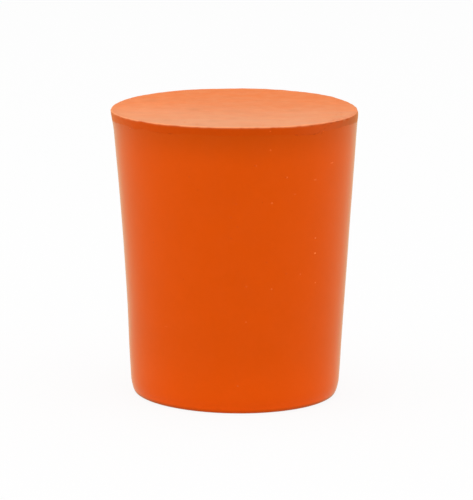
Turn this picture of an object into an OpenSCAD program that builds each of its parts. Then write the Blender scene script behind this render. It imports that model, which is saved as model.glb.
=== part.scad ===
// Solid laboratory stopper, moulded in one piece from orange rubber.
//
// It is a frustum that stands on its small end: the origin is the centre of the small face
// and +Z runs up the axis to the large face. One outline is turned about that axis. From the
// small face it goes round the nose, up a side that is drawn in slightly at mid-height, out
// along the trimmed land, over the rim and back across the large face.

/* [Ends] */
// Diameter of the large end, measured over the rounded rim
large_d = 25; // [24:0.5:32]
// Diameter of the small end, where the side would meet the face without its rounding
small_d = 21; // [16:0.5:22]
// Length along the axis, face to face
length = 29.3; // [20:0.1:45]

/* [Side] */
// How far the side is drawn in at mid-height, from a straight taper
waist = 0.1; // [0.04:0.01:0.5]

/* [Small end] */
// Radius of the nose that leads the stopper into a neck
nose_r = 0.8; // [0.2:0.1:2.5]

/* [Trimmed land] */
// Height of the land that is left under the large face where the moulding flash is cut away
land_h = 0.85; // [0.5:0.05:2]
// How far the land leans out from its foot to the rim
land_lean = 0.13; // [0.12:0.01:0.3]
// Radius left on the rim of the large face
rim_r = 0.1; // [0.04:0.02:0.12]

/* [Hidden] */

// Facets round the axis, and steps along each rounded stretch of the outline
round_fn = 180;
side_steps = 24;
corner_steps = 10;

// The side's two ends, as [radius, height]: the sharp corner that the nose rounds off, and
// the foot of the land
small_corner = [small_d / 2, 0];
land_foot = [large_d / 2 - land_lean, length - land_h];

// The side is an arc through both ends. Its centre lies far outside the stopper, so that the
// arc bows in towards the axis by the waist.
side_chord = land_foot - small_corner;
side_r = (pow(norm(side_chord), 2) / 4 + pow(waist, 2)) / (2 * waist);
side_out = [side_chord[1], -side_chord[0]] / norm(side_chord);
side_centre = (small_corner + land_foot) / 2 + side_out * (side_r - waist);

// The nose touches the small face and, from inside the rubber, the arc of the side
nose_to_side = side_r + nose_r;
nose_centre = [
    side_centre[0] - sqrt(pow(nose_to_side, 2) - pow(side_centre[1] - nose_r, 2)),
    nose_r
];
nose_end = angle_of(side_centre - nose_centre);

// The arc of the side from the end of the nose up to the foot of the land. It lies on the
// far side of its centre, hence the minus sign: its angles are those of the lines from the
// side to that centre, and stay near zero.
side_end = angle_of(side_centre - land_foot);
side_points = arc(side_centre, -side_r, nose_end, side_end, side_steps);

// The rim touches the large face and the straight land, which reaches it from the foot
rim_centre = [large_d / 2 - rim_r, length - rim_r];
foot_from_rim = land_foot - rim_centre;
rim_start = angle_of(foot_from_rim) + acos(rim_r / norm(foot_from_rim));

function angle_of(v) = atan2(v[1], v[0]);

// Points along an arc, both ends included
function arc(centre, r, from, to, steps) = [
    for (i = [0:steps])
        let (a = from + (to - from) * i / steps)
        centre + r * [cos(a), sin(a)]
];

module stopper_outline() {
    polygon(concat(
        [[0, 0]],
        arc(nose_centre, nose_r, -90, nose_end, corner_steps),
        [for (i = [1:side_steps]) side_points[i]],
        arc(rim_centre, rim_r, rim_start, 90, corner_steps),
        [[0, length]]
    ));
}

module stopper() {
    color("#d84e0a")
        rotate_extrude($fn = round_fn)
            stopper_outline();
}

stopper();
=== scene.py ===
"""The looks of a moulded rubber stopper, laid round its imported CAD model.

The stopper is one closed skin. It follows the CAD node's outline, turned about Z, and adds
what moulding and hand trimming leave: a body that is a little off square, a land whose edges
are ragged and nicked, and a fine unevenness all over. Three finishes go on it: the moulded
side, the trimmed land, and the large face, which is dull with dust. The specks of grit and the
pinholes in the skin are a second piece, with a finish of its own.
"""

import math

import bpy
import numpy as np
from mathutils import Matrix, Vector


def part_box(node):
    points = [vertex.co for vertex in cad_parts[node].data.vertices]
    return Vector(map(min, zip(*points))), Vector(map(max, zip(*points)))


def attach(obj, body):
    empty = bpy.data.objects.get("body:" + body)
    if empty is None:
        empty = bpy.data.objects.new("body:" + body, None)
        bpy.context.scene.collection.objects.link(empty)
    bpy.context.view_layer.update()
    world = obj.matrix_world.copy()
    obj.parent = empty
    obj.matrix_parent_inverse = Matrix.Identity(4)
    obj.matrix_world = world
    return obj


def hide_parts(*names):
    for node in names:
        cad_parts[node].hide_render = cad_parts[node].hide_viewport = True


bl_info = {
    "name": "Rubber Stopper",
    "version": (1, 0, 0),
    "blender": (4, 5, 0),
    "location": "3D View > Sidebar > Stopper",
    "description": "Builds a moulded rubber stopper with a trimmed land, and a studio to see it in",
    "category": "Add Mesh",
}

MM = 0.001
NODE = "stopper"
BODY = "root"

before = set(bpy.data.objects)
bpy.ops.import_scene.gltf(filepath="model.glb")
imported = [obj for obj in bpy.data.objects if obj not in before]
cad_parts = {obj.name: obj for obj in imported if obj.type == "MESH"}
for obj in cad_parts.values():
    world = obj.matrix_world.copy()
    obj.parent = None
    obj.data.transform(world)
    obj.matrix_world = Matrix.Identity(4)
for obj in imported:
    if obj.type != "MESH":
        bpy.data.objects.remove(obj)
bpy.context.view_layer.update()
CAD_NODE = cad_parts[NODE]
LOW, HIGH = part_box(NODE)
LENGTH = HIGH.z - LOW.z
LARGE_RADIUS = (HIGH.x - LOW.x) / 2


# --------------------------------------------------------------------------------------
# Settings
# --------------------------------------------------------------------------------------


def length_setting(name, description, default, **limits):
    """A length in metres that a user may change."""
    return bpy.props.FloatProperty(
        name=name, description=description, default=default, unit="LENGTH", precision=5, **limits
    )


def colour_setting(name, description, default):
    """A linear colour that a user may change."""
    return bpy.props.FloatVectorProperty(
        name=name, description=description, default=default, subtype="COLOR", size=3, min=0, max=1
    )


def power_setting(name, description, default):
    """A lamp's power in watts that a user may change."""
    return bpy.props.FloatProperty(
        name=name, description=description, default=default, unit="POWER", min=0
    )


class StopperShape(bpy.types.PropertyGroup):
    """Sizes of what the skin adds to the CAD outline."""

    columns: bpy.props.IntProperty(
        name="Columns", description="Grid columns round the axis", default=560, min=60
    )
    fullness: length_setting(
        "Fullness", "How far the lower side stands out from the CAD outline", 0.022 * MM
    )
    skew: length_setting(
        "Skew", "How far the large end has slid towards -X against the small end", 0.334 * MM
    )
    bow: length_setting(
        "Bow", "How far the middle of the body bends towards +X", 0.105 * MM
    )
    overhang_shift: length_setting(
        "Overhang shift", "How far the rim lies off centre on its land, towards -X", 0.034 * MM
    )
    face_tilt: bpy.props.FloatProperty(
        name="Face tilt", description="How far the cut of the large face rises towards +X",
        default=math.radians(0.51), subtype="ANGLE",
    )
    face_wave: length_setting(
        "Face wave", "How far the rim rises at front and back and sinks at the sides", 0.056 * MM
    )
    nose_flat: length_setting(
        "Nose flat", "How far the nose is flattened from its arc towards a chamfer", 0.10 * MM
    )
    waviness: length_setting(
        "Waviness", "Height of the slow unevenness that shrinkage leaves", 0.008 * MM
    )
    raggedness: length_setting(
        "Raggedness", "How far the lower edge of the land wanders up and down", 0.035 * MM
    )
    nick_depth: length_setting(
        "Nick depth", "Depth of the short cuts at the land's foot and rim", 0.05 * MM
    )
    torn_depth: length_setting(
        "Torn depth", "Roughness of the rim where the flash tore", 0.06 * MM
    )


class StopperRubber(bpy.types.PropertyGroup):
    """Colours of the rubber's finishes."""

    side: colour_setting("Side", "The moulded side", (0.73, 0.0815, 0.001))
    # Painted shade where the nose turns under towards the floor.
    painted_nose_shade: colour_setting("Painted nose shade", "The nose, where it turns under", (0.58, 0.078, 0.001))
    shade: colour_setting("Shade", "The side just under the land", (0.58, 0.067, 0.001))
    land: colour_setting("Land", "The trimmed land", (0.60, 0.064, 0.001))
    face: colour_setting("Face", "The large face where it is clean", (0.78, 0.15, 0.031))
    dust: colour_setting("Dust", "The large face where dust dulls it", (0.765, 0.27, 0.142))
    # Painted highlight: the pale line along the rim's arc.
    worn: colour_setting("Painted rim highlight", "The rim, where dust lies on torn rubber", (0.99, 0.37, 0.16))
    # Painted shade: the dark colour of the cuts, the pinholes and one edge of the specks.
    deep_shade: colour_setting("Deep shade", "What settles in cuts and pinholes", (0.33, 0.035, 0.002))
    grit: colour_setting("Grit", "Pale specks of grit", (1.0, 0.21, 0.04))
    film: colour_setting("Film", "The pale film that comes out of the rubber", (0.85, 0.38, 0.18))


class StopperStudio(bpy.types.PropertyGroup):
    """The studio's camera and light."""

    camera_distance: length_setting("Camera distance", "From the stopper's middle", 0.373)
    camera_elevation: bpy.props.FloatProperty(
        name="Camera elevation", description="Above the horizon",
        default=math.radians(11.386), subtype="ANGLE",
    )
    camera_roll: bpy.props.FloatProperty(
        name="Camera roll", description="Turn of the camera about its own axis",
        default=math.radians(0.714), subtype="ANGLE",
    )
    lens: bpy.props.FloatProperty(
        name="Lens", description="Focal length on a 36 mm sensor", default=264.1, unit="CAMERA"
    )
    floor: colour_setting("Floor", "The studio floor", (0.86, 0.86, 0.86))
    ambient: bpy.props.FloatProperty(
        name="Ambient", description="Strength of the light that comes from all round", default=0.835
    )
    left_power: power_setting("Left power", "Softbox on the -X side", 0.288)
    right_power: power_setting("Right power", "Softbox on the +X side", 0.24)
    top_power: power_setting("Top power", "Softbox overhead", 0.388)


# --------------------------------------------------------------------------------------
# The skin's shape
# --------------------------------------------------------------------------------------


class Outline:
    """The CAD node's outline, from the middle of the small face round the side to the middle of
    the large face, read by the distance travelled along it. It keeps the distances at which
    the nose, the land, the rim's arc and the large face start, that of the middle of the arc,
    and the whole distance."""

    def __init__(self):
        """The radius at each height that the node's rings have is the largest distance from
        the axis there. The foot of the land is the sharpest inward corner: the angle between
        one stretch and the next is most negative there."""
        places = np.empty(len(CAD_NODE.data.vertices) * 3)
        CAD_NODE.data.vertices.foreach_get("co", places)
        x, y, z = places.reshape(-1, 3).T
        heights, ring = np.unique(np.round(z, 7), return_inverse=True)
        radii = np.zeros(len(heights))
        np.maximum.at(radii, ring, np.hypot(x, y))
        self.radii = np.concatenate([[0], radii, [0]])
        self.heights = np.concatenate([heights[:1], heights, heights[-1:]])
        run, rise = np.diff(self.radii), np.diff(self.heights)
        self.travel = np.concatenate([[0], np.cumsum(np.hypot(run, rise))])
        foot = 1 + int(np.argmin(np.diff(np.unwrap(np.arctan2(rise, run)))))
        self.nose = self.travel[1]
        self.foot = self.travel[foot]
        self.rim = self.travel[foot + 1]
        self.face = self.travel[-2]
        self.arc = (self.rim + self.face) / 2
        self.end = self.travel[-1]

    def read(self, at):
        """Radius and height at a distance along the outline, and the outward and upward parts
        of its normal: its direction over a short step, turned by a right angle."""
        step = 0.02 * MM
        radius, height, after, before, higher, lower = (
            np.interp(where, self.travel, values)
            for where, values in (
                (at, self.radii), (at, self.heights),
                (at + step, self.radii), (at - step, self.radii),
                (at + step, self.heights), (at - step, self.heights),
            )
        )
        run, rise = after - before, higher - lower
        size = np.hypot(run, rise)
        return radius, height, rise / size, -run / size


def spaced_rings(end, spacing):
    """Distances along the outline at which the skin has its rings. The count of rings up to a
    place is the running sum of one over the spacing wanted there, and the rings are at equal
    steps of that count."""
    samples = 20000
    fine = np.linspace(0, end, samples)
    wanted = spacing(fine)
    count = np.concatenate([[0], np.cumsum(np.diff(fine) / ((wanted[1:] + wanted[:-1]) / 2))])
    return np.interp(np.linspace(0, count[-1], int(count[-1]) + 1), count, fine)


def waves(points, wavelength, count, seed):
    """A smooth unevenness of about unit height: the mean of plane cosine waves in directions
    drawn at random, each near one wavelength, times the square root of twice their number."""
    draw = np.random.default_rng(seed)
    direction = draw.normal(size=(count, 3))
    direction /= np.linalg.norm(direction, axis=1, keepdims=True)
    rate = 2 * np.pi / (wavelength * draw.uniform(0.6, 1.6, count))
    phase = draw.uniform(0, 2 * np.pi, count)
    total = np.zeros(points.shape[:-1])
    for way, fast, start in zip(direction, rate, phase):
        total += np.cos(points @ way * fast + start)
    return total * math.sqrt(2 / count)


def smooth_step(low, high, value):
    """0 below low, 1 above high, and three t squared less two t cubed in between."""
    t = np.clip((value - low) / (high - low), 0, 1)
    return t * t * (3 - 2 * t)


def near(place, width, value):
    """A bell of height 1 at place: e to the minus the square of the distance over width."""
    return np.exp(-(((value - place) / width) ** 2))


def near_turn(degrees, width, turn):
    """The same bell round the axis, in degrees, with the distance taken the shorter way."""
    apart = (np.degrees(turn) - degrees + 180) % 360 - 180
    return np.exp(-((apart / width) ** 2))


def bells_round(table, turn):
    """The sum of bells round the axis. The table gives the angle, half width and height of each."""
    return sum(height * near_turn(angle, width, turn) for angle, width, height in table)


# In these tables an angle round the axis and its half width are in degrees, and everything else
# is in millimetres.
# Where the lower side swells: angle, half width, height, reach, and by how much. Then the shares
# of the length up to which its fullness is whole and over which there is none.
SWELLS = ((180.0, 50.0, 4.6, 2.6, 0.055), (0.0, 55.0, 1.8, 3.4, 0.045))
FULLNESS_SHARES = (0.35, 0.95)
# Where the nose is filled out and where it is cut back: height and reach.
NOSE_FILL = (0.06, 0.16)
NOSE_CUT = (0.60, 0.42)
# Where the large end flares: angle, half width, how far under the large face the flare is whole
# and how far under it it starts, and by how much.
FLARES = ((180.0, 42.0, 0.9, 2.3, 0.05), (0.0, 42.0, 0.8, 3.2, 0.03))
# Where the rim is rounded off by wear: angle, half width and depth. Then how far that reaches.
ROUNDINGS = ((0.0, 38.0, 0.16), (180.0, 30.0, 0.09))
ROUNDING_REACH = 0.24
# Where the large face is lifted: angle, half width and how far. Then the angle at which its
# wave has a crest, and how far down the body both are felt.
LIFTS = ((-88.0, 14.0, 0.03), (-62.0, 10.0, -0.02), (38.0, 14.0, 0.05), (92.0, 20.0, -0.04))
WAVE_CREST = 81.0
LIFT_REACH = 4.0


def surface(outline, shape, at, turn):
    """The body's surface, and its normals before it is bent, by distance along the outline and
    angle round the axis.

    The outline is made fuller below mid-height, swollen in places near the small end,
    flattened round the nose, and flared at the large end. The rim is rounded off in places by
    a cut at 45 degrees, which takes as much from the radius as from the height. Points are
    turned about Z, and moved along the normal by the slow waviness. The body is then skewed in
    proportion to height, and bowed as height times height left. The rim slides on its land.
    The large end is tilted by X times height. It is also waved by the cosine of twice the
    angle from a crest, and by the lifts, both times radius squared."""
    at, turn = np.broadcast_arrays(at, turn)
    radius, height, outward, upward = outline.read(at)
    share = height / LENGTH
    on_side = smooth_step(outline.nose, outline.nose + 0.8 * MM, at)
    radius = radius + shape.fullness * on_side * (1 - smooth_step(*FULLNESS_SHARES, share))
    for angle, width, middle, reach, bulge in SWELLS:
        swell = near_turn(angle, width, turn) * near(middle * MM, reach * MM, height)
        radius = radius + bulge * MM * swell * on_side
    filled, cut_back = (
        near(middle * MM, reach * MM, height) for middle, reach in (NOSE_FILL, NOSE_CUT)
    )
    past_nose = smooth_step(outline.nose, outline.nose + 0.3 * MM, at)
    radius = radius + shape.nose_flat * (filled - cut_back) * past_nose
    for angle, width, whole, start, bulge in FLARES:
        flare = near_turn(angle, width, turn)
        flare = flare * smooth_step(LENGTH - start * MM, LENGTH - whole * MM, height)
        radius = radius + bulge * MM * flare * (radius / LARGE_RADIUS)
    cut = MM * bells_round(ROUNDINGS, turn) * near(outline.arc, ROUNDING_REACH * MM, at)
    radius, height = radius - 0.7 * cut, height - 0.7 * cut
    ray = np.stack([np.cos(turn), np.sin(turn), np.zeros_like(turn)], -1)
    axis = np.array([0.0, 0.0, 1.0])
    normals = outward[..., None] * ray + upward[..., None] * axis
    points = radius[..., None] * ray + height[..., None] * axis
    waved = shape.waviness * on_side * waves(points, 9 * MM, count=24, seed=1)
    points = points + waved[..., None] * normals

    across = points[..., 0].copy()
    slide = shape.skew * (0.5 - share) + shape.bow * 4 * share * (1 - share)
    points[..., 0] += slide - shape.overhang_shift * smooth_step(outline.foot, outline.rim, at)
    wave = shape.face_wave * np.cos(2 * (turn - math.radians(WAVE_CREST)))
    lift = (wave + MM * bells_round(LIFTS, turn)) * (radius / LARGE_RADIUS) ** 2
    lift = lift * smooth_step(LENGTH - LIFT_REACH * MM, LENGTH, height)
    points[..., 2] += math.tan(shape.face_tilt) * across * share + lift
    return points, normals


# Cuts along the foot of the land: angle and half width in degrees, height over the foot in
# millimetres, and strength.
FOOT_NICKS = (
    (-147.6, 1.0, 0.10, 0.60), (-146.0, 0.8, -0.05, 0.60), (-142.8, 1.4, 0.02, 0.45),
    (-139.6, 1.8, 0.00, 0.60), (-129.4, 2.0, 0.02, 0.42), (-125.4, 1.2, 0.05, 0.30),
    (-121.0, 1.4, 0.03, 0.50), (-73.0, 3.2, -0.25, 0.20), (-66.0, 3.0, -0.20, 0.14),
    (-60.5, 1.2, 0.00, 0.45), (-57.6, 0.9, 0.12, 0.30), (-54.0, 1.4, 0.00, 0.50),
    (-50.6, 1.1, 0.02, 0.60), (-48.8, 0.8, -0.04, 0.50), (-47.0, 0.8, 0.10, 0.50),
    (-46.0, 0.7, -0.06, 0.50), (-44.4, 0.7, 0.30, 0.45), (-42.2, 0.8, 0.42, 0.40),
    (-34.0, 1.6, 0.02, 0.30), (-28.0, 1.6, 0.00, 0.45),
)
# Cuts in the rim: angle and half width in degrees, and strength.
RIM_NICKS = (
    (-152.0, 1.6, 0.4), (-142.0, 2.0, 0.4), (-118.0, 1.4, 0.3), (-52.6, 0.9, 0.6),
    (-45.0, 1.6, 0.5), (-39.6, 0.9, 0.8), (-34.6, 2.2, 0.8), (-25.6, 1.4, 0.6),
)
# Where the foot of the land sags: angle and half width in degrees, and how far in millimetres.
FOOT_SAGS = (
    (-172.0, 9.0, 0.20), (-144.0, 5.0, 0.20), (-125.0, 8.0, 0.20), (-54.0, 7.5, 0.22),
    (-8.0, 10.0, 0.15), (70.0, 18.0, 0.12),
)
# Where the rim is torn, where it has no painted highlight, and where the land is paler or darker:
# angle and half width in degrees, and strength.
TEARS = ((-33.0, 9.0, 1.0), (-127.0, 9.0, 0.4))
NO_RIM_HIGHLIGHT = ((-8.0, 34.0, 1.0), (-162.0, 16.0, 0.45))
LAND_TONES = ((-150.0, 24.0, 1.0), (-19.0, 16.0, -3.6), (60.0, 30.0, -0.6), (150.0, 25.0, 0.6))
# Stains on the large face: X, Y, reach across and along, in millimetres, and strength.
STAINS = (
    (5.8, -1.5, 0.8, 1.0, -0.8), (-4.2, -1.1, 0.6, 0.9, -1.0), (-8.7, 4.7, 0.7, 1.1, -0.8),
    (-11.3, 1.1, 0.5, 1.2, 0.5), (9.9, 3.6, 0.5, 1.0, 0.5), (11.9, -0.9, 0.4, 0.9, 0.7),
    (-6.9, -8.2, 0.5, 0.7, -0.9), (-2.2, -8.6, 0.7, 0.8, -0.7), (-3.9, -10.6, 0.6, 0.6, -0.8),
    (-0.3, -2.0, 0.7, 1.0, -0.6), (-0.1, -6.8, 0.8, 0.9, -0.6), (-5.6, -3.5, 0.7, 0.9, -0.5),
    (10.1, -4.6, 0.7, 1.6, -0.5), (-9.0, 0.0, 3.5, 7.0, 0.6),
)


def skin_rings(outline):
    """Distances along the outline of the skin's rings: wide apart on the side and the face,
    closer round the nose, closest on the land, and closer still at the land's foot and on the
    arc of the rim. A ring lies on each of the outline's corners."""
    on_side, on_face, on_nose, on_land = 0.60 * MM, 0.30 * MM, 0.10 * MM, 0.045 * MM
    foot, arc = outline.foot, outline.arc

    def spacing(at):
        gap = np.where(at > outline.face, on_face, on_side)
        nose = near(outline.nose + 0.7 * MM, 1.0 * MM, at)
        land = np.maximum(near(foot + 0.35 * MM, 0.75 * MM, at), near(arc, 0.5 * MM, at))
        gap = gap * (1 - nose) + on_nose * nose
        gap = gap * (1 - land) + on_land * land
        closer_on_arc = 1 - 0.4 * near(arc, 0.15 * MM, at)
        closer_at_foot = 1 - 0.3 * near(foot, 0.15 * MM, at)
        return gap * closer_on_arc * closer_at_foot

    at = spaced_rings(outline.end, spacing)[1:-1]
    for corner in (outline.nose, foot, outline.rim, outline.face):
        at[np.argmin(abs(at - corner))] = corner
    return at


def rim_roughness(outline, shape, at, turn, on_rim):
    """How far the rim stands out: by short waves where it is torn, which cut in more than they
    stand out, and by slight waves all round. The waves are read at on_rim, the rim's own
    points, so that they run straight over the edge."""
    torn = shape.torn_depth * bells_round(TEARS, turn) * near(outline.arc, 0.20 * MM, at)
    slight = 0.012 * MM * near(outline.arc, 0.12 * MM, at)
    return (torn * (waves(on_rim, 0.9 * MM, count=30, seed=3) - 0.4)
            + slight * waves(on_rim, 1.3 * MM, count=30, seed=7))


def cut_depth(outline, at, turn, on_rim):
    """How deep the cuts at the foot and the rim of the land are, from 0 to 1: at each point the
    deepest of the bells in the tables. Their places along the outline wander a little. Round
    the back, where the tables have none, the foot is cut where a wave stands high."""
    foot, rim = outline.foot, outline.rim
    behind = 1 - smooth_step(0.15, 0.3, near_turn(-90, 62, turn))
    deepest = 0.6 * behind * smooth_step(0.8, 1.3, waves(on_rim, 3.0 * MM, count=24, seed=4))
    deepest = deepest * near(foot, 0.05 * MM, at)
    wander = 0.03 * MM * waves(on_rim, 0.8 * MM, count=20, seed=9)
    cuts = [(angle, width, foot + over * MM, 0.036 * MM, strength)
            for angle, width, over, strength in FOOT_NICKS]
    cuts += [(angle, width, rim - 0.03 * MM, 0.065 * MM, strength)
             for angle, width, strength in RIM_NICKS]
    for angle, width, place, reach, strength in cuts:
        cut = near_turn(angle, width, turn) * near(place + wander, reach, at)
        deepest = np.maximum(deepest, strength * cut)
    return deepest


def foot_rise(outline, shape, at, turn, on_rim):
    """How far the foot of the land, and what lies near it, moves up: by short and by long
    waves, less the sags."""
    ragged = 0.5 * waves(on_rim, 1.4 * MM, count=30, seed=5)
    ragged = ragged + 0.8 * waves(on_rim, 7 * MM, count=20, seed=6)
    sag = MM * bells_round(FOOT_SAGS, turn)
    return (shape.raggedness * ragged - sag) * near(outline.foot, 0.40 * MM, at)


def rim_highlight_share(outline, at, turn, on_rim):
    """How strong the painted highlight along the rim is, from 0 to 1: a bell over its arc, in
    patches, less where the table says it has none."""
    patchy = np.clip(0.85 + 0.3 * waves(on_rim, 1.1 * MM, count=30, seed=8), 0, 1)
    return near(outline.arc + 0.02 * MM, 0.10 * MM, at) * patchy * (1 - bells_round(NO_RIM_HIGHLIGHT, turn))


def land_and_face_tone(outline, at, turn, points, land_end):
    """How pale, or below 0 how dark, the land and the large face are. The land has the sum of
    its table's bells. The face has the sum of its stains, each e to the minus the sum of two
    squares: the distance from its middle in X over its reach across, and the same in Y over
    its reach along."""
    across, along = points[..., 0] / MM, points[..., 1] / MM
    stains = sum(
        strength * np.exp(-((across - x) / wide) ** 2 - ((along - y) / deep) ** 2)
        for x, y, wide, deep, strength in STAINS
    )
    on_face = smooth_step(outline.face, outline.face + 0.2 * MM, at)
    on_land = 1 - smooth_step(land_end - 0.04 * MM, land_end, at)
    return stains * on_face + bells_round(LAND_TONES, turn) * on_land


def skin_grid(outline, shape):
    """The skin's points as a grid of rings by columns, with masks for the painted shade in the
    cuts, for the painted highlight along the rim and for the tones of the land and the face, and
    which ring starts each finish.

    To the body's surface it adds what hand trimming leaves: along the normal the roughness of
    the rim, less the cuts, and upward the ragged foot of the land. The land's finish ends at a
    quarter of the way round the rim's arc."""
    at = skin_rings(outline)
    turn = np.arange(shape.columns) / shape.columns * 2 * np.pi
    points, normals = surface(outline, shape, at[:, None], turn[None, :])
    on_rim = points[np.argmin(abs(at - outline.arc))]
    land_end = (outline.rim + outline.arc) / 2
    starts = [int(np.searchsorted(at, place)) for place in (outline.foot, land_end)]

    at = at[:, None]
    cuts = cut_depth(outline, at, turn, on_rim)
    moved = rim_roughness(outline, shape, at, turn, on_rim) - shape.nick_depth * cuts
    points = points + moved[..., None] * normals
    points[..., 2] += foot_rise(outline, shape, at, turn, on_rim)
    masks = {
        # Painted shade: the deeper a cut, the darker its colour.
        "crevice": np.clip(cuts, 0, 1),
        "worn": rim_highlight_share(outline, at, turn, on_rim),
        "tone": land_and_face_tone(outline, at, turn, points, land_end),
    }
    return points, masks, starts


def grid_faces(rings, columns):
    """The faces of a grid of rings by columns that is closed by a fan to a point at each end:
    the fan below, the quads and the fan above. The two end points are numbered after the grid.
    Each quad runs from a point to the next column, up a ring, and back. Faces point outward
    where columns turn anticlockwise, seen from above, and rings go up."""
    index = np.arange(rings * columns).reshape(rings, columns)
    after = np.roll(index, -1, axis=1)
    quads = np.stack([index[:-1], after[:-1], after[1:], index[1:]], -1).reshape(-1, 4)
    bottom = np.full(columns, rings * columns)
    below = np.stack([bottom, after[0], index[0]], -1)
    above = np.stack([index[-1], after[-1], bottom + 1], -1)
    return below, quads, above


def new_mesh(name, vertices, faces, masks):
    """A smooth mesh. Each mask is a number at each of its points, for its material to read."""
    mesh = bpy.data.meshes.new(name)
    mesh.from_pydata(vertices.reshape(-1, 3).tolist(), [], faces)
    mesh.shade_smooth()
    for mask, values in masks.items():
        attribute = mesh.attributes.new(mask, "FLOAT", "POINT")
        attribute.data.foreach_set("value", np.asarray(values, np.float32).ravel())
    return mesh


def skin_mesh(outline, shape):
    """The skin's grid as a mesh that is closed at the middles of both ends, with the number of
    each face's finish: 0 on the side, 1 on the land and 2 on the large face."""
    points, masks, starts = skin_grid(outline, shape)
    rings, columns = points.shape[:2]
    below, quads, above = grid_faces(rings, columns)
    ends = [points[0].mean(axis=0), points[-1].mean(axis=0)]
    masks = {
        name: np.append(np.broadcast_to(values, (rings, columns)), [0, 0])
        for name, values in masks.items()
    }
    mesh = new_mesh("stopper_skin", np.concatenate([points.reshape(-1, 3), ends]),
                    below.tolist() + quads.tolist() + above.tolist(), masks)
    ring = np.repeat(np.arange(rings - 1), columns)
    finish = np.searchsorted(starts, ring, side="right")
    finish = np.concatenate([np.zeros(columns), finish, np.full(columns, len(starts))])
    mesh.polygons.foreach_set("material_index", finish.astype(np.int32))
    return mesh


# Specks: angle round the axis in degrees, height on the side, half width and half height in
# millimetres, how pale the middle is, and how dark the painted shade on the edge towards -X is.
# Grit is pale, and a pinhole is dark in the middle with painted shade, so it has less than 0 there.
SIDE_SPECKS = (
    (-73.5, 26.98, 0.12, 0.12, 0.4, 0.1), (-80.3, 25.48, 0.17, 0.14, 0.2, 0.5),
    (-65.1, 24.15, 0.16, 0.13, 0.65, 0.9), (-37.8, 25.00, 0.36, 0.09, 0.65, 0.2),
    (-49.0, 23.60, 0.26, 0.12, 0.4, 0.0), (-60.5, 22.38, 0.22, 0.07, 0.4, 0.3),
    (-72.4, 21.64, 0.15, 0.13, 0.6, 0.1), (-47.2, 17.63, 0.20, 0.11, 1.0, 0.8),
    (-46.7, 16.07, 0.15, 0.11, 2.2, 0.5), (-55.7, 14.14, 0.13, 0.11, 0.5, 0.3),
    (-45.6, 13.03, 0.18, 0.11, 0.65, 0.4), (-71.6, 12.88, 0.13, 0.12, 0.65, 0.3),
    (-84.7, 13.23, 0.19, 0.12, 0.3, 0.4), (-84.7, 9.59, 0.14, 0.11, 0.5, 0.4),
    (-88.6, 3.00, 0.14, 0.10, 0.55, 0.4), (-74.4, 15.64, 0.14, 0.11, -0.12, 0.0),
    (-63.7, 14.33, 0.14, 0.10, -0.12, 0.2), (-92.1, 20.27, 0.19, 0.12, -0.1, 0.0),
    (-89.1, 19.32, 0.17, 0.12, -0.1, 0.0), (-92.1, 18.14, 0.14, 0.12, -0.1, 0.1),
    (-89.6, 21.65, 0.14, 0.11, -0.1, 0.0), (-23.3, 7.14, 0.30, 0.10, -0.12, 0.0),
    (-128.8, 8.52, 0.30, 0.05, 0.3, 0.0), (-73.7, 28.86, 0.12, 0.09, 0.2, 0.15),
    (-135.0, 17.00, 0.14, 0.10, -0.2, 0.0), (-112.0, 24.20, 0.12, 0.10, -0.2, 0.1),
    (-147.0, 28.28, 0.12, 0.07, 0.4, 0.5), (-45.2, 28.42, 0.12, 0.07, 0.3, 0.6),
)
# The same on the large face, with the distance from the axis in place of the height.
FACE_SPECKS = (
    (-14.6, 11.03, 0.10, 0.24, -0.45, 0.0), (-20.6, 11.38, 0.10, 0.22, 0.4, 0.0),
    (-26.3, 11.85, 0.10, 0.22, -0.45, 0.0), (-21.6, 10.90, 0.12, 0.20, -0.2, 0.0),
    (-36.3, 12.15, 0.20, 0.14, -0.5, 0.0), (-118.0, 10.4, 0.16, 0.20, -0.2, 0.0),
    (-109.0, 11.2, 0.18, 0.20, -0.2, 0.0), (-76.0, 11.7, 0.12, 0.16, 0.3, 0.0),
)
# How many more lie round the back, and the range that each of the columns is drawn from there.
BACK_SPECKS = 34
BACK_RANGES = ((-10, 190), (2, 28), (0.08, 0.2), (0.06, 0.12), (-0.2, 0.7), (0, 0.5))


def speck_list(outline):
    """All specks as columns: distance along the outline, angle, half width, half height, pale
    and dark. Those round the back are drawn at random. A height on the side gives a distance
    only between the outline's ends, which lie on the axis."""
    draw = np.random.default_rng(11)
    back = np.stack([draw.uniform(low, high, BACK_SPECKS) for low, high in BACK_RANGES], 1)
    side = np.concatenate([np.array(SIDE_SPECKS), back])
    face = np.array(FACE_SPECKS)
    between = slice(1, -1)
    at_side = np.interp(side[:, 1] * MM, outline.heights[between], outline.travel[between])
    at = np.concatenate([at_side, outline.end - face[:, 1] * MM])
    angle, _, wide, high, pale, dark = np.concatenate([side, face]).T
    return at, np.radians(angle), wide * MM, high * MM, pale, dark


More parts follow.
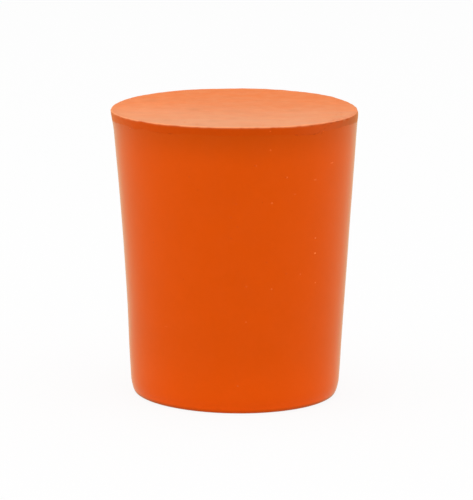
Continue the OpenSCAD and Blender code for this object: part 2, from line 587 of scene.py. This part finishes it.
def speck_grid(outline, shape, rings=5, columns=14):
    """The specks' points as speck by ring by column, their closing points, and how pale or dark
    each point is.

    A speck is a low lens on the body's surface. Its rings are ellipses in distance along the
    outline and angle round the axis. It stands out as the square of one less ring squared,
    further where it is paler, and its edge is sunk into the rubber. It is pale towards the
    middle, and dark in a crescent on one side, which is painted shade: ring times one less ring
    squared, brought to a height of 1."""
    at, turn, wide, high, pale, dark = (column[:, None, None] for column in speck_list(outline))
    ring = (np.arange(rings, 0, -1) / rings)[None, :, None]
    way = (np.arange(columns) / columns * 2 * np.pi)[None, None, :]
    from_axis = np.maximum(outline.read(at)[0], 1 * MM)
    place = at + high * ring * np.sin(way)
    angle = turn + wide * ring * np.cos(way) / from_axis
    points, normals = surface(outline, shape, place, angle)
    raised, edge_sunk, base_sunk = 0.003 * MM, 0.015 * MM, 0.03 * MM
    lens = (0.004 + 0.028 * np.clip(pale, 0, 1)) * MM
    height = raised + lens * (1 - ring ** 2) ** 2 - edge_sunk * ring ** 8
    points = points + height[..., None] * normals
    middle, outward = surface(outline, shape, at[:, :, 0], turn[:, :, 0])
    top = middle + (raised + lens) * outward
    bottom = middle - base_sunk * outward
    # Painted shade on one edge of the lens.
    crescent = 2.6 * ring * (1 - ring ** 2) * np.clip(-np.cos(way), 0, 1)
    tone = pale * (1 - ring ** 2) - dark * crescent
    return points, bottom, top, tone, pale[:, 0]


def speck_mesh(outline, shape):
    """One mesh of all specks: each is a grid that is closed at both ends by a fan to a point,
    so a speck's quads and triangles are the first one's with its place in the list added."""
    points, bottom, top, tone, pale = speck_grid(outline, shape)
    count, rings, columns = points.shape[:3]
    below, quads, above = grid_faces(rings, columns)
    start = (np.arange(count) * (rings * columns + 2))[:, None, None]
    fans = np.concatenate([below, above]) + start
    faces = fans.reshape(-1, 3).tolist() + (quads + start).reshape(-1, 4).tolist()
    vertices = np.concatenate([points.reshape(count, -1, 3), bottom, top], axis=1)
    tones = np.concatenate([tone.reshape(count, -1), np.zeros((count, 1)), pale], axis=1)
    return new_mesh("stopper_specks", vertices, faces, {"tone": tones})


# --------------------------------------------------------------------------------------
# Finishes
# --------------------------------------------------------------------------------------


class Nodes:
    """A short way to write a node tree: new() places a node, sets its values and links its
    inputs."""

    def __init__(self, tree):
        self.tree = tree

    def new(self, kind, values=None, **settings):
        """A node of a kind. Values holds inputs by name or number: a socket is linked and
        anything else is set. The other settings are the node's own."""
        node = self.tree.nodes.new(kind)
        for key, value in settings.items():
            setattr(node, key, value)
        for key, value in (values or {}).items():
            if isinstance(value, bpy.types.NodeSocket):
                self.tree.links.new(value, node.inputs[key])
            else:
                node.inputs[key].default_value = value
        return node

    def math(self, operation, *values, clamp=False):
        """The result of a math node."""
        return self.new("ShaderNodeMath", dict(enumerate(values)),
                        operation=operation, use_clamp=clamp).outputs[0]

    def ramp(self, value, at_0, at_1):
        """0 where value is at_0, 1 where it is at_1, and a smooth step between. Either of the
        two may be the larger."""
        return self.new("ShaderNodeMapRange", {0: value, 1: at_0, 2: at_1},
                        interpolation_type="SMOOTHSTEP").outputs[0]

    def mix(self, factor, first, second, blend="MIX"):
        """Two colours mixed."""
        return self.new("ShaderNodeMix", {0: factor, 6: first, 7: second},
                        data_type="RGBA", blend_type=blend).outputs[2]

    def noise(self, vector, scale, detail, roughness=0.5):
        """The value of a noise texture, about 0.5."""
        return self.new("ShaderNodeTexNoise", {
            "Vector": vector, "Scale": scale, "Detail": detail, "Roughness": roughness,
        }).outputs[0]

    def in_view(self):
        """1 where the camera looks, straight, in a reflection or through glass, and 0 for the
        light that falls on things."""
        path = self.new("ShaderNodeLightPath").outputs
        bent = self.math("MAXIMUM", path["Is Glossy Ray"], path["Is Transmission Ray"])
        return self.math("MAXIMUM", path["Is Camera Ray"], bent)


def new_group(name, inputs, outputs):
    """An empty node group with sockets of the given names and kinds. Returns it with its
    nodes, its inputs and a function that links an output."""
    tree = bpy.data.node_groups.new(name, "ShaderNodeTree")
    for label, kind, default in inputs:
        socket = tree.interface.new_socket(label, in_out="INPUT", socket_type=kind)
        if default is not None:
            socket.default_value = default
    for label, kind in outputs:
        tree.interface.new_socket(label, in_out="OUTPUT", socket_type=kind)
    nodes = Nodes(tree)
    given = nodes.new("NodeGroupInput").outputs
    result = nodes.new("NodeGroupOutput").inputs

    def put_out(label, socket):
        tree.links.new(socket, result[label])

    return tree, nodes, given, put_out


def mottle_group():
    """Uneven colour or gloss in blotches and speckles of given sizes, in metres. Puts out a
    value about 0 that mostly stays between -1 and 1."""
    tree, nodes, given, put_out = new_group(
        "Mottle",
        [("Vector", "NodeSocketVector", None), ("Blotch size", "NodeSocketFloat", 3 * MM),
         ("Speckle size", "NodeSocketFloat", 0.5 * MM),
         ("Speckle share", "NodeSocketFloat", 0.4)],
        [("Value", "NodeSocketFloat")],
    )
    blotch = nodes.noise(given["Vector"], nodes.math("DIVIDE", 1.0, given["Blotch size"]), 3.0)
    speckle = nodes.noise(given["Vector"], nodes.math("DIVIDE", 1.0, given["Speckle size"]), 2.0)
    mixed = nodes.new("ShaderNodeMix", {0: given["Speckle share"], 2: blotch, 3: speckle})
    centred = nodes.math("SUBTRACT", mixed.outputs[0], 0.5)
    put_out("Value", nodes.math("MULTIPLY", centred, 5.0))
    return tree


def film_group():
    """The pale film that comes out of rubber as it ages, in soft patches. Puts out the colour
    with the film laid over it, where Cover is the most that it hides."""
    tree, nodes, given, put_out = new_group(
        "Pale film",
        [("Vector", "NodeSocketVector", None), ("Color", "NodeSocketColor", None),
         ("Film", "NodeSocketColor", None), ("Cover", "NodeSocketFloat", 0.05),
         ("Patch size", "NodeSocketFloat", 2 * MM)],
        [("Color", "NodeSocketColor")],
    )
    patch = nodes.noise(given["Vector"], nodes.math("DIVIDE", 1.0, given["Patch size"]), 4.0, 0.6)
    cover = nodes.math("MULTIPLY", nodes.ramp(patch, 0.36, 0.68), given["Cover"])
    put_out("Color", nodes.mix(cover, given["Color"], given["Film"]))
    return tree


def grain_group():
    """The fine grain that a mould or a blade leaves in rubber, over a soft unevenness. Puts out
    a height in micrometres, about 0."""
    tree, nodes, given, put_out = new_group(
        "Grain",
        [("Vector", "NodeSocketVector", None), ("Grain", "NodeSocketFloat", 4.0),
         ("Grain size", "NodeSocketFloat", 0.2 * MM), ("Swell", "NodeSocketFloat", 10.0)],
        [("Height", "NodeSocketFloat")],
    )
    rate = nodes.math("DIVIDE", 1.0, given["Grain size"])
    fine = nodes.math("SUBTRACT", nodes.noise(given["Vector"], rate, 3.0, 0.6), 0.5)
    soft = nodes.math("SUBTRACT", nodes.noise(given["Vector"], 0.7 / MM, 1.0, 0.4), 0.5)
    both = nodes.math("ADD", nodes.math("MULTIPLY", fine, given["Grain"]),
                      nodes.math("MULTIPLY", soft, given["Swell"]))
    put_out("Height", both)
    return tree


def pinhole_group():
    """Scattered pinholes, such as trapped air leaves: a few cells of a cell pattern have a dot
    at their middle. Puts out 1 in a dot and 0 elsewhere."""
    tree, nodes, given, put_out = new_group(
        "Pinholes",
        [("Vector", "NodeSocketVector", None), ("Cell size", "NodeSocketFloat", 1 * MM),
         ("Radius", "NodeSocketFloat", 0.07 * MM), ("Share", "NodeSocketFloat", 0.2)],
        [("Dot", "NodeSocketFloat")],
    )
    rate = nodes.math("DIVIDE", 1.0, given["Cell size"])
    cells = nodes.new("ShaderNodeTexVoronoi",
                      {"Vector": given["Vector"], "Scale": rate, "Randomness": 1.0})
    reach = nodes.math("MULTIPLY", given["Radius"], rate)
    inside = nodes.math("SUBTRACT", 1.0, nodes.math("DIVIDE", cells.outputs["Distance"], reach),
                        clamp=True)
    luck = nodes.new("ShaderNodeSeparateColor", {0: cells.outputs["Color"]}).outputs[0]
    chosen = nodes.math("LESS_THAN", luck, given["Share"])
    put_out("Dot", nodes.math("MULTIPLY", nodes.ramp(inside, 0.0, 0.6), chosen))
    return tree


class Finish:
    """A rubber finish in the making: its material, its nodes, Object coordinates, the groups
    that finishes share, and the colours."""

    def __init__(self, name, rubber, groups):
        self.material = bpy.data.materials.new(name)
        self.material.use_nodes = True
        self.material.node_tree.nodes.clear()
        self.nodes = Nodes(self.material.node_tree)
        self.place = self.nodes.new("ShaderNodeTexCoord").outputs["Object"]
        self.rubber = rubber
        self.groups = groups

    def colour(self, name):
        """One of the rubber's colours, as a socket takes it."""
        return (*getattr(self.rubber, name), 1.0)

    def group(self, key, values=None):
        """What a shared group puts out, with the given values."""
        values = {"Vector": self.place, **(values or {})}
        return self.nodes.new("ShaderNodeGroup", values, node_tree=self.groups[key]).outputs[0]

    def mask(self, name):
        """A mask that the mesh carries."""
        return self.nodes.new("ShaderNodeAttribute", attribute_name=name).outputs["Fac"]

    def part(self, axis):
        """X, Y or Z of the place, by number."""
        return self.nodes.new("ShaderNodeSeparateXYZ", {0: self.place}).outputs[axis]

    def shaded(self, colour, amount, value):
        """Colour times one plus amount times value."""
        by = self.uneven(1.0, amount, value)
        grey = self.nodes.new("ShaderNodeCombineColor", {0: by, 1: by, 2: by}).outputs[0]
        return self.nodes.mix(1.0, colour, grey, "MULTIPLY")

    def uneven(self, middle, amount, value):
        """Middle plus amount times value."""
        return self.nodes.new("ShaderNodeMath", {0: value, 1: amount, 2: middle},
                              operation="MULTIPLY_ADD").outputs[0]

    def shade(self, colour, roughness, height, *, level, sheen, tint=(1.0, 0.76, 0.36, 1.0)):
        """Puts the shader on: height is in micrometres, and level, sheen and tint are the same
        all over. The sheen is the pale glow that dull rubber has when it is seen edge-on."""
        bump = self.nodes.new("ShaderNodeBump", {"Height": height, "Distance": 1e-6})
        shader = self.nodes.new("ShaderNodeBsdfPrincipled", {
            "Base Color": colour, "Roughness": roughness, "Specular IOR Level": level,
            "Sheen Weight": sheen, "Sheen Roughness": 0.4, "Sheen Tint": tint,
            "Normal": bump.outputs[0],
        })
        self.nodes.new("ShaderNodeOutputMaterial", {"Surface": shader.outputs[0]})
        return self.material


def side_finish(rubber, groups):
    """The moulded side: saturated, with painted shade that makes it a little duller and darker
    towards the land, painted light that makes it a little paler towards the small end, and painted
    shade where the nose turns under. Pinholes and cuts are dark with painted shade, and a thin film
    lies in patches."""
    make = Finish("moulded_rubber", rubber, groups)
    nodes = make.nodes
    height = make.part(2)
    across, along = (nodes.math("ABSOLUTE", make.part(axis)) for axis in (0, 1))
    # Painted shade: darker towards the land, most of all at the front and the back.
    painted_shade_under_land = nodes.math("MULTIPLY", nodes.ramp(height, LENGTH - 4.4 * MM, LENGTH + 0.4 * MM),
                            make.uneven(0.6, 0.5 / LARGE_RADIUS, along))
    colour = nodes.mix(painted_shade_under_land, make.colour("side"), make.colour("shade"))
    # Painted light from the floor: paler towards the small end, and once more by the nose.
    colour = make.shaded(colour, 0.11, nodes.ramp(height, 7.5 * MM, 0.3 * MM))
    colour = make.shaded(colour, 0.08, nodes.ramp(height, 1.0 * MM, 0.2 * MM))
    # Painted shade where the nose turns under towards the floor, most of all on the -X and +X
    # sides.
    painted_nose_shade = nodes.math("MULTIPLY", nodes.ramp(height, 0.55 * MM, 0.20 * MM),
                         make.uneven(0.5, 0.8 / LARGE_RADIUS, across))
    colour = nodes.mix(painted_nose_shade, colour, make.colour("painted_nose_shade"))
    mottle = make.group("mottle", {"Blotch size": 3 * MM, "Speckle size": 0.5 * MM})
    colour = make.shaded(colour, 0.02, mottle)
    colour = make.group("film", {"Color": colour, "Film": make.colour("film"), "Cover": 0.004,
                                 "Patch size": 2.2 * MM})
    pinholes = make.group("pinholes", {"Cell size": 1.3 * MM, "Radius": 0.08 * MM,
                                       "Share": 0.16})
    # Painted shade in the pinholes and the cuts.
    dark = nodes.math("MAXIMUM", nodes.math("MULTIPLY", pinholes, 0.2), make.mask("crevice"))
    colour = nodes.mix(dark, colour, make.colour("deep_shade"))
    grain = make.group("grain", {"Grain": 4.0, "Swell": 8.0})
    bumps = make.uneven(grain, -14.0, pinholes)
    roughness = make.uneven(0.22, 0.03, mottle)
    return make.shade(colour, roughness, bumps, level=0.009, sheen=0.6,
                      tint=(0.61, 0.80, 0.43, 1.0))


def land_finish(rubber, groups):
    """The trimmed land: matt, a little darker than the side, paler in some places and darker in
    others, with painted sheen in the film's colour on its +X side, painted shade in its cuts, a
    painted highlight along the rim, and the blade's coarser grain."""
    make = Finish("trimmed_land", rubber, groups)
    nodes = make.nodes
    mottle = make.group("mottle", {"Blotch size": 1.6 * MM, "Speckle size": 0.4 * MM,
                                   "Speckle share": 0.5})
    colour = make.shaded(make.colour("land"), 0.03, mottle)
    colour = make.shaded(colour, 0.06, make.mask("tone"))
    # Painted sheen: the film's colour on the +X side, where the land is seen edge-on, stands in for
    # its pale reflection there.
    painted_sheen_on_plus_x = nodes.ramp(make.part(0), 0.33 * LARGE_RADIUS, 0.88 * LARGE_RADIUS)
    colour = nodes.mix(nodes.math("MULTIPLY", painted_sheen_on_plus_x, 0.055), colour, make.colour("film"))
    # Painted shade in the cuts.
    colour = nodes.mix(make.mask("crevice"), colour, make.colour("deep_shade"))
    # Painted highlight along the rim.
    colour = nodes.mix(make.mask("worn"), colour, make.colour("worn"))
    grain = make.group("grain", {"Grain": 10.0, "Grain size": 0.25 * MM, "Swell": 12.0})
    roughness = make.uneven(0.75, 0.06, mottle)
    return make.shade(colour, roughness, grain, level=0.01, sheen=0.5,
                      tint=(0.73, 0.72, 0.32, 1.0))


def face_finish(rubber, groups):
    """The large face: dull and pale with dust that lies thicker towards the front, in blotches
    drawn out along X, with small stains, and a painted highlight along its rim."""
    make = Finish("large_face", rubber, groups)
    nodes = make.nodes
    strokes = nodes.new("ShaderNodeVectorMath", {0: make.place, 1: (0.55, 1.0, 1.0)},
                        operation="MULTIPLY").outputs[0]
    drift = make.group("mottle", {"Vector": strokes, "Blotch size": 5 * MM,
                                  "Speckle size": 1.3 * MM, "Speckle share": 0.45})
    dusty = nodes.ramp(make.part(1), LARGE_RADIUS, -LARGE_RADIUS)
    dusty = nodes.math("MULTIPLY_ADD", drift, 0.16, dusty, clamp=True)
    dusty = nodes.math("POWER", dusty, 1.6)
    colour = nodes.mix(dusty, make.colour("face"), make.colour("dust"))
    mottle = make.group("mottle", {"Vector": strokes, "Blotch size": 1.8 * MM,
                                   "Speckle size": 0.45 * MM, "Speckle share": 0.45})
    colour = make.shaded(colour, 0.045, mottle)
    colour = make.group("film", {"Color": colour, "Film": make.colour("film"), "Cover": 0.14,
                                 "Patch size": 1.4 * MM})
    colour = make.shaded(colour, 0.09, make.mask("tone"))
    # Painted highlight along the rim.
    colour = nodes.mix(make.mask("worn"), colour, make.colour("worn"))
    grain = make.group("grain", {"Grain": 8.0, "Grain size": 0.22 * MM, "Swell": 14.0})
    return make.shade(colour, make.uneven(0.78, 0.05, mottle), grain, level=0.04, sheen=0.28)


def speck_finish(rubber, groups):
    """Specks of grit and pinholes: paler or darker than the side or the large face that they
    lie on, by the tone that the mesh carries. The darker tone is painted shade, in a pinhole and
    on one edge of a speck."""
    make = Finish("grit_specks", rubber, groups)
    nodes = make.nodes
    tone = make.mask("tone")
    on_face = nodes.ramp(make.part(2), LENGTH - 0.05 * MM, LENGTH - 0.02 * MM)
    colour = nodes.mix(on_face, make.colour("side"), make.colour("face"))
    pale = nodes.math("MULTIPLY", tone, 0.8, clamp=True)
    colour = nodes.mix(pale, colour, make.colour("grit"))
    # Painted shade where the tone is below 0: a pinhole's middle and one edge of a speck.
    dark = nodes.math("MULTIPLY", tone, -0.9, clamp=True)
    colour = nodes.mix(dark, colour, make.colour("deep_shade"))
    grain = make.group("grain", {"Grain": 6.0, "Swell": 8.0})
    mottle = make.group("mottle")
    return make.shade(colour, make.uneven(0.6, 0.05, mottle), grain, level=0.06, sheen=0.4)


# --------------------------------------------------------------------------------------
# The studio
# --------------------------------------------------------------------------------------


# How far the floor reaches, and how much of what it shows is plain white.
FLOOR_RADIUS = 1.5
WHITE_SHARE = 0.90
# Softboxes: name, degrees across from the front and up from the horizon, and power setting.
SOFTBOXES = (
    ("left_softbox", -75, 15, "left_power"),
    ("right_softbox", 75, 15, "right_power"),
    ("top_softbox", 0, 88, "top_power"),
)
# How far past the stopper's middle the camera looks.
PAST_MIDDLE = Vector((0.175, 0, 0.002)) * MM


def new_object(name, data):
    """An object with that data, in the scene."""
    made = bpy.data.objects.new(name, data)
    bpy.context.scene.collection.objects.link(made)
    return made


def floor_material(studio):
    """Pale paper. To the camera and in reflections most of it is plain white, so that the
    stopper's shadow stays but is faint, and it isn't seen from below."""
    material = bpy.data.materials.new("studio_paper")
    material.use_nodes = True
    material.node_tree.nodes.clear()
    nodes = Nodes(material.node_tree)
    paper = nodes.new("ShaderNodeBsdfDiffuse", {"Color": (*studio.floor, 1)}).outputs[0]
    white = nodes.new("ShaderNodeEmission", {"Color": (1, 1, 1, 1), "Strength": 1.0}).outputs[0]
    shown = nodes.new("ShaderNodeMixShader", {0: WHITE_SHARE, 1: paper, 2: white}).outputs[0]
    above = nodes.new("ShaderNodeMixShader", {0: nodes.in_view(), 1: paper, 2: shown}).outputs[0]
    clear = nodes.new("ShaderNodeBsdfTransparent").outputs[0]
    back = nodes.new("ShaderNodeNewGeometry").outputs["Backfacing"]
    surface = nodes.new("ShaderNodeMixShader", {0: back, 1: above, 2: clear}).outputs[0]
    nodes.new("ShaderNodeOutputMaterial", {"Surface": surface})
    return material


def floor_disc(steps=128):
    """A flat disc at the height of the small face: points on a circle, joined as one face."""
    turn = np.arange(steps) / steps * 2 * np.pi
    rim = np.stack([np.cos(turn), np.sin(turn), np.zeros(steps)], 1) * FLOOR_RADIUS
    rim[:, 2] = LOW.z
    mesh = bpy.data.meshes.new("studio_floor")
    mesh.from_pydata(rim.tolist(), [], [list(range(steps))])
    return mesh


def softbox(name, across, up, power, distance=0.4, size=0.3):
    """A square area lamp that faces the stopper's middle from a distance, turned across from
    the front and up from the horizon."""
    lamp = bpy.data.lights.new(name, "AREA")
    lamp.shape = "SQUARE"
    lamp.size = size
    lamp.energy = power
    made = new_object(name, lamp)
    middle = Vector((0, 0, LENGTH / 2))
    way = Vector((
        math.sin(across) * math.cos(up), -math.cos(across) * math.cos(up), math.sin(up)
    ))
    made.matrix_world = Matrix.Translation(middle + way * distance) @ (
        way.to_track_quat("Z", "Y").to_matrix().to_4x4()
    )


def world_light(studio):
    """A world that is white to the camera and in reflections, and plain ambient light to the
    rest."""
    world = bpy.data.worlds.new("studio_world")
    world.use_nodes = True
    world.node_tree.nodes.clear()
    nodes = Nodes(world.node_tree)
    strength = nodes.new("ShaderNodeMix", {0: nodes.in_view(), 2: studio.ambient, 3: 1.0})
    light = nodes.new("ShaderNodeBackground",
                      {"Color": (1, 1, 1, 1), "Strength": strength.outputs[0]})
    nodes.new("ShaderNodeOutputWorld", {"Surface": light.outputs[0]})
    bpy.context.scene.world = world


def studio_camera(studio):
    """A camera in front, a little above, that looks just past the stopper's middle."""
    data = bpy.data.cameras.new("camera")
    data.lens = studio.lens
    data.clip_start = 0.01
    camera = new_object("camera", data)
    middle = Vector((0, 0, LENGTH / 2))
    up = studio.camera_elevation
    place = middle + Vector((0, -math.cos(up), math.sin(up))) * studio.camera_distance
    turned = (place - middle - PAST_MIDDLE).to_track_quat("Z", "Y").to_matrix().to_4x4()
    roll = Matrix.Rotation(studio.camera_roll, 4, "Z")
    camera.matrix_world = Matrix.Translation(place) @ turned @ roll
    bpy.context.scene.camera = camera


# --------------------------------------------------------------------------------------
# Operators, panel and registration
# --------------------------------------------------------------------------------------


def finish_mesh(mesh, finishes):
    """Puts finishes on a mesh, in order. They share their node groups, each built once."""
    groups = {
        key: bpy.data.node_groups.get(name) or build()
        for key, name, build in (
            ("mottle", "Mottle", mottle_group), ("film", "Pale film", film_group),
            ("grain", "Grain", grain_group), ("pinholes", "Pinholes", pinhole_group),
        )
    }
    for finish in finishes:
        mesh.materials.append(finish(bpy.context.scene.stopper_rubber, groups))


class STOPPER_OT_body(bpy.types.Operator):
    """Build the stopper's skin and its three finishes"""

    bl_idname = "stopper.body"
    bl_label = "Stopper"
    bl_options = {"REGISTER", "UNDO"}

    def execute(self, context):
        mesh = skin_mesh(Outline(), context.scene.stopper_shape)
        finish_mesh(mesh, (side_finish, land_finish, face_finish))
        skin = new_object("stopper_skin", mesh)
        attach(skin, BODY)
        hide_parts(NODE)
        return {"FINISHED"}


class STOPPER_OT_specks(bpy.types.Operator):
    """Scatter the specks of grit in the stopper's skin"""

    bl_idname = "stopper.specks"
    bl_label = "Specks"
    bl_options = {"REGISTER", "UNDO"}

    def execute(self, context):
        mesh = speck_mesh(Outline(), context.scene.stopper_shape)
        finish_mesh(mesh, (speck_finish,))
        specks = new_object("stopper_specks", mesh)
        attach(specks, BODY)
        return {"FINISHED"}


class STOPPER_OT_studio(bpy.types.Operator):
    """Build the studio: floor, world, softboxes and camera"""

    bl_idname = "stopper.studio"
    bl_label = "Studio"
    bl_options = {"REGISTER", "UNDO"}

    def execute(self, context):
        studio = context.scene.stopper_studio
        floor = new_object("studio_floor", floor_disc())
        floor.data.materials.append(floor_material(studio))
        world_light(studio)
        for name, across, up, power in SOFTBOXES:
            softbox(name, math.radians(across), math.radians(up), getattr(studio, power))
        studio_camera(studio)
        context.scene.view_settings.view_transform = "Standard"
        return {"FINISHED"}


class STOPPER_PT_panel(bpy.types.Panel):
    """The stopper's settings and builders"""

    bl_idname = "STOPPER_PT_panel"
    bl_label = "Rubber Stopper"
    bl_space_type = "VIEW_3D"
    bl_region_type = "UI"
    bl_category = "Stopper"

    def draw(self, context):
        scene = context.scene
        for settings, operator in (
            ((scene.stopper_shape, scene.stopper_rubber), STOPPER_OT_body),
            ((), STOPPER_OT_specks),
            ((scene.stopper_studio,), STOPPER_OT_studio),
        ):
            box = self.layout.box()
            for group in settings:
                for name in group.__annotations__:
                    box.prop(group, name)
            box.operator(operator.bl_idname)


SETTINGS = {
    "stopper_shape": StopperShape,
    "stopper_rubber": StopperRubber,
    "stopper_studio": StopperStudio,
}
CLASSES = (
    *SETTINGS.values(), STOPPER_OT_body, STOPPER_OT_specks, STOPPER_OT_studio, STOPPER_PT_panel
)


def register():
    """Adds the classes, and their settings to every scene."""
    for cls in CLASSES:
        bpy.utils.register_class(cls)
    for name, cls in SETTINGS.items():
        setattr(bpy.types.Scene, name, bpy.props.PointerProperty(type=cls))


def unregister():
    """Takes the settings and the classes away again."""
    for name in SETTINGS:
        delattr(bpy.types.Scene, name)
    for cls in reversed(CLASSES):
        bpy.utils.unregister_class(cls)


def main():
    """Builds the stopper and its studio."""
    register()
    bpy.ops.stopper.body()
    bpy.ops.stopper.specks()
    bpy.ops.stopper.studio()


if __name__ == "__main__":
    main()
